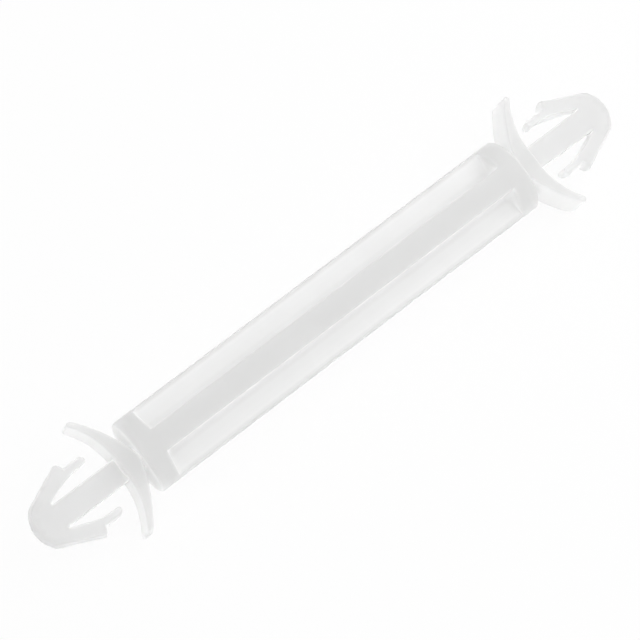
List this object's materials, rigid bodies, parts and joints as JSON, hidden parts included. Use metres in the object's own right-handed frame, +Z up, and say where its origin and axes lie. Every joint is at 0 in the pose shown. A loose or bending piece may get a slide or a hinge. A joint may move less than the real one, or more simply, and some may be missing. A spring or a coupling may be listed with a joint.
{
  "type": "pcb standoff",
  "caption": "Double-ended snap-in circuit board spacer: ribbed round body, with tension wings and a split arrowhead at each end.",
  "frame": {"origin": "middle of the flat surface that the piece lies on, under the middle of its body", "axes": "+X along the body, +Z up from the surface; the wings lie about 15 degrees off level, with one tip at each end on the surface"},
  "size_m": [0.048, 0.0092, 0.0054],
  "materials": {
    "nylon": "satin, milky and slightly translucent"
  },
  "bodies": {
    "root": {"standoff": "nylon"}
  },
  "joints": []
}
